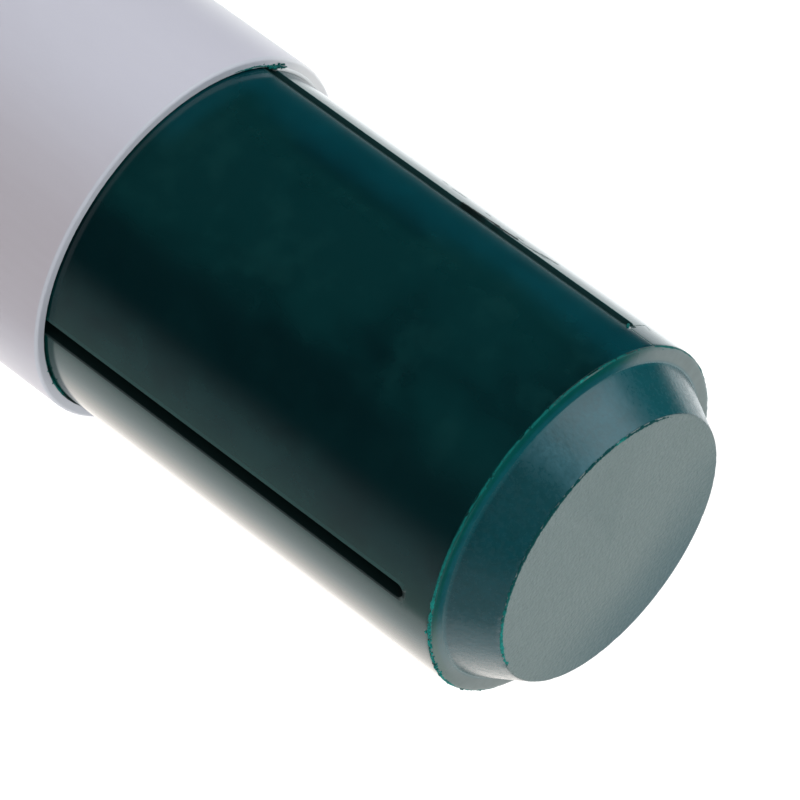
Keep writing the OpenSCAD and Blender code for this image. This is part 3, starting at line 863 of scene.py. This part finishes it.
def moulded_plastic(name, colour, warm_shade_colour, streak_colour, end_colour, lit_colour, end_low, end_high):
    """A satin moulded plastic, mottled and streaked, with a warm painted shade on one side, painted light on
    another, and its end in another colour.
    """
    material, tree, shader = new_finish(name)
    here = use(tree, stick_place)
    soft = mottled(tree, 0.06, draw=2.0, seed=2.0)
    grain = mottled(tree, 3.5, seed=6.0)
    streak = mottled(tree, 1.2, draw=14.0, seed=9.0)
    drift = maths(tree, "MULTIPLY_ADD", soft, 40.0, -20.0)
    # Painted shade: one side is darker and warmer.
    warm_shade = near_side(tree, *SHADED_PLASTIC_SIDE, product(tree, drift, 0.4))
    made = mix(tree, product(tree, warm_shade, WARM_SHADE_SHARE), colour, warm_shade_colour)
    made = mix(tree, product(tree, streak, STREAK_SHARE), made, streak_colour)
    at_end = product(tree, ramp(tree, here["Height"], end_low, end_low + 0.15),
                     ramp(tree, here["Height"], end_high + 0.2, end_high + 0.1))
    made = mix(tree, at_end, made, end_colour)
    # Painted light: one side is paler, most of all at the end.
    lit = near_side(tree, *LIT_PLASTIC_SIDE)
    lit = product(tree, lit, maths(tree, "MULTIPLY_ADD", at_end, 0.4, 0.5))
    made = mix(tree, lit, made, lit_colour)
    roughness = maths(tree, "MULTIPLY_ADD", soft, 0.08, 0.36)
    coat(tree, shader, made, roughness, PLASTIC_INDEX, grain, PLASTIC_RELIEF)
    return material


def dress(node_name, material):
    """Give a node of the frame its material."""
    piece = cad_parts[node_name]
    piece.data.materials.clear()
    piece.data.materials.append(material)


# Painted shade: the lip is a little darker, to tone down the light on its rounded edge.
dress("barrel", moulded_plastic(
    "barrel_plastic", PLASTIC, PLASTIC_WARM_SHADE, PLASTIC_PALE, PLASTIC_LIP_SHADE, PLASTIC_LIT,
    end_low=MOUTH - LIP_DEPTH, end_high=MOUTH))

# ----------------------------------------------------------- lip smears
# Wax that the barrel's mouth has wiped off the stick: a torn burr where one groove comes out, and a few
# smears and crumbs on the lip. A thin film also fills the gap, as painted shade and painted light.
SMEARS = [
    (211.0, 227.5, 15.3, 104.82, 0.06, 1), (343.0, 372.0, 15.12, 104.66, 0.12, 2),
    (150.0, 161.0, 15.22, 104.76, 0.06, 3), (60.0, 72.0, 15.2, 104.76, 0.06, 4)]
COLUMNS_TO_A_DEGREE = 6
SMEAR_UNEVEN = 0.03
smears = []
for start, end, radius, height, thick, seed in SMEARS:
    rng = np.random.default_rng(seed)
    count = int((end - start) * COLUMNS_TO_A_DEGREE)
    along = np.linspace(0, 1, count)
    rounded = np.sqrt(np.clip(4 * along * (1 - along), 0.01, 1))
    size = thick * rounded * (1 + 0.4 * wander(rng, count, count // 5))
    radii = radius + SMEAR_UNEVEN * wander(rng, count, count // 8)
    heights = height + SMEAR_UNEVEN * wander(rng, count, count // 6)
    smear_round = np.radians(np.linspace(start, end, count))
    smears.append(bead_mesh("smear", smear_round, radii, heights, size, closed=False))
burr = [
    (210.8, 15.2, 104.86, 0.16, 1.6, 0.8), (209.0, 15.2, 104.9, 0.2, 1.8, 0.6),
    (207.2, 15.3, 104.88, 0.17, 2.0, 0.6), (205.4, 15.5, 104.86, 0.09, 3.6, 0.6),
    (205.2, 15.3, 104.92, 0.09, 4.0, 0.6), (205.6, 15.12, 104.88, 0.09, 3.4, 0.7),
    (207.6, 15.5, 104.86, 0.09, 1.8, 0.6), (209.8, 15.4, 104.86, 0.1, 1.6, 0.6),
    (203.4, 15.36, 104.86, 0.05, 3.2, 0.6), (212.4, 15.3, 104.84, 0.08, 2.4, 0.6),
    (349.0, 15.22, 104.8, 0.07, 1.2, 0.8), (355.7, 15.24, 104.8, 0.08, 1.2, 0.8),
    (214.6, 15.45, 104.81, 0.05, 1.6, 0.5), (219.0, 15.4, 104.81, 0.04, 1.6, 0.5)]
smears.append(crumb_mesh("burr", burr, seed=11))
work = bmesh.new()
for part in smears:
    work.from_mesh(part)
lip_mesh = bpy.data.meshes.new("lip_smears")
work.to_mesh(lip_mesh)
work.free()

SMEARED_DARK = (0.0003, 0.05, 0.05, 1)
SMEARED_PALE = (0.001, 0.17, 0.15, 1)
SMEARED_INDEX = 1.25
smeared_wax, tree, shader = new_finish("smeared_wax")
patch = mottled(tree, 2.5, seed=7.0)
colour = mix(tree, patch, SMEARED_DARK, SMEARED_PALE)
coat(tree, shader, colour, maths(tree, "MULTIPLY_ADD", patch, 0.15, 0.7), SMEARED_INDEX)
place("lip_smears", lip_mesh, "barrel", smeared_wax, 70)

# The film that fills the gap is thin and dark, a painted shade in the gap, but pale and thicker on one side,
# as painted light that comes through the barrel's wall.
FILM_GAP_SHADE = (0.0003, 0.012, 0.012, 1)
FILM_GAP_SHADE_LIGHTER = (0.0006, 0.028, 0.028, 1)
FILM_PAINTED_LIGHT = (0.6, 0.63, 0.64, 1)
FILM_INDEX = 1.3
LIT_FILM_SIDE = (185.0, 22.0, 25.0)
THICK_FILM_END, THICK_FILM_FADE = 27, 4
FILM_R = 15.125
FILM_SIZE = 0.1
FILM_BELOW_MOUTH = 0.17
gap_shade_film, tree, shader = new_finish("gap_shade_film")
lit_film_side = near_side(tree, *LIT_FILM_SIDE)
patch = mottled(tree, 1.5, detail=3.0, seed=2.0)
colour = mix(tree, patch, FILM_GAP_SHADE, FILM_GAP_SHADE_LIGHTER)
colour = mix(tree, lit_film_side, colour, FILM_PAINTED_LIGHT)
coat(tree, shader, colour, maths(tree, "MULTIPLY_ADD", patch, 0.2, 0.6), FILM_INDEX)
rng = np.random.default_rng(3)
off_side = np.abs(np.degrees(all_round) - LIT_FILM_SIDE[0])
thicker = np.clip((THICK_FILM_END - off_side) / THICK_FILM_FADE, 0, 1)
size = FILM_SIZE + 0.012 * wander(rng, RIM_LINE_COLUMNS, 120) * (1 - thicker) + 0.12 * thicker
heights = MOUTH - FILM_BELOW_MOUTH + 0.12 * thicker + 0.05 * wander(rng, RIM_LINE_COLUMNS, 70) * (1 - thicker)
film = bead_mesh("gap_shade_film", all_round, FILM_R - 0.07 * thicker, heights, size)
place("gap_shade_film", film, "barrel", gap_shade_film, 60)

# ------------------------------------------------------------- carrier
# The cup that pushes the wax up, moulded in undyed plastic. Its threaded boss runs on the
# screw, and the wax is cast over its wall.
UNDYED = (0.75, 0.75, 0.71, 1)
UNDYED_WARM_SHADE = (0.7, 0.69, 0.63, 1)
UNDYED_PALE = (0.78, 0.78, 0.75, 1)
UNDYED_FOOT = (0.72, 0.72, 0.68, 1)
UNDYED_LIT = (0.76, 0.76, 0.73, 1)
dress("carrier", moulded_plastic(
    "carrier_plastic", UNDYED, UNDYED_WARM_SHADE, UNDYED_PALE, UNDYED_FOOT, UNDYED_LIT,
    end_low=0.0, end_high=1.0))

# ---------------------------------------------------------------- knob
# The knob turns the screw. It is moulded in the same plastic as the barrel, with finger
# flutes, and its foot is darker.
DARKER_FOOT = (0.44, 0.44, 0.48, 1)
dress("twist_knob", moulded_plastic(
    "knob_plastic", PLASTIC, PLASTIC_WARM_SHADE, PLASTIC_PALE, DARKER_FOOT, PLASTIC_PALE,
    end_low=-1.0, end_high=0.3))
